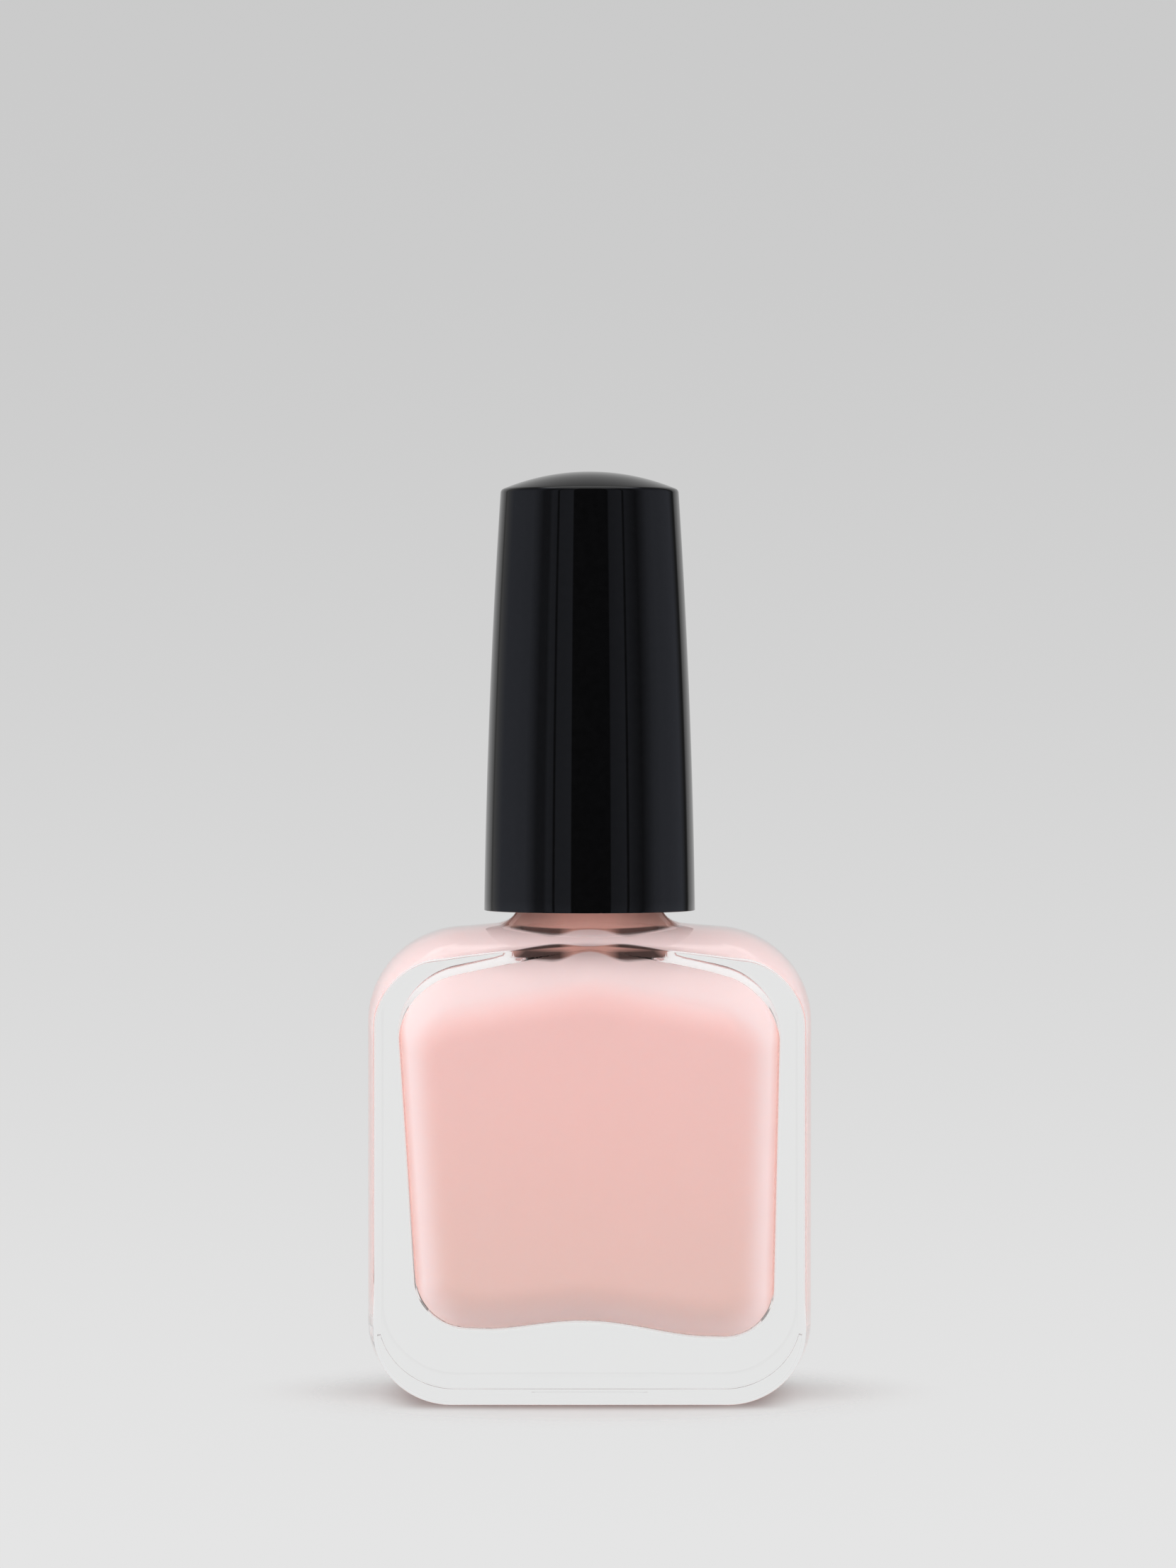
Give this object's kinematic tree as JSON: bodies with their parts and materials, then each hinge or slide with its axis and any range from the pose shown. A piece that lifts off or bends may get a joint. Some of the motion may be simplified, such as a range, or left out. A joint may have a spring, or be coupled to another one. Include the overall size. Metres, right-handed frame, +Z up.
{
  "type": "nail polish bottle",
  "caption": "Flat clear glass bottle of pale pink nail polish with a tall tapered black screw cap that carries the brush.",
  "frame": {"origin": "centre of the base, on the surface the bottle stands on", "axes": "+Z up along the cap, -Y out of the front face, +X to the right as seen from the front"},
  "size_m": [0.0358, 0.02, 0.0746],
  "materials": {
    "clear_glass": "clear polished glass",
    "pink_polish": "milky liquid",
    "black_plastic": "high gloss",
    "white_plastic": "moulded satin",
    "soft_seal": "matte foam",
    "stem_plastic": "moulded satin",
    "nylon_bristle": "nylon filament",
    "steel_wire": "drawn wire",
    "steel_bead": "polished"
  },
  "bodies": {
    "bottle": {"glass_bottle": "clear_glass", "polish": "pink_polish"},
    "seal": {"seal_washer": "soft_seal"},
    "brush": {"brush_stem": "stem_plastic", "bristles": "nylon_bristle", "bristle_staple": "steel_wire"},
    "cap": {"outer_cap": "black_plastic", "inner_cap": "white_plastic"},
    "bead_left": {"mixing_ball_left": "steel_bead"},
    "bead_right": {"mixing_ball_right": "steel_bead"}
  },
  "joints": [
    {"name": "brush_withdraw", "type": "slide", "parent": "bottle", "child": "seal", "axis": [0, 0, 1], "range_m": [0, 0.05], "deforming": ["polish"]},
    {"name": "thread_lift", "type": "slide", "parent": "seal", "child": "brush", "axis": [0, 0, 1], "range_m": [0, 0.0028]},
    {"name": "cap_turn", "type": "hinge", "parent": "brush", "child": "cap", "pos_m": [0, 0, 0.0495], "axis": [0, 0, 1], "range_deg": [0, 480]},
    {"name": "bead_left_rise", "type": "slide", "parent": "bottle", "child": "bead_left", "axis": [0, 0, 1], "range_m": [0, 0.02], "deforming": ["polish"]},
    {"name": "bead_right_rise", "type": "slide", "parent": "bottle", "child": "bead_right", "axis": [0, 0, 1], "range_m": [0, 0.02], "deforming": ["polish"]}
  ],
  "couplings": [
    {"joint": "cap_turn", "follows": "thread_lift", "rad_per_m": 2992}
  ]
}
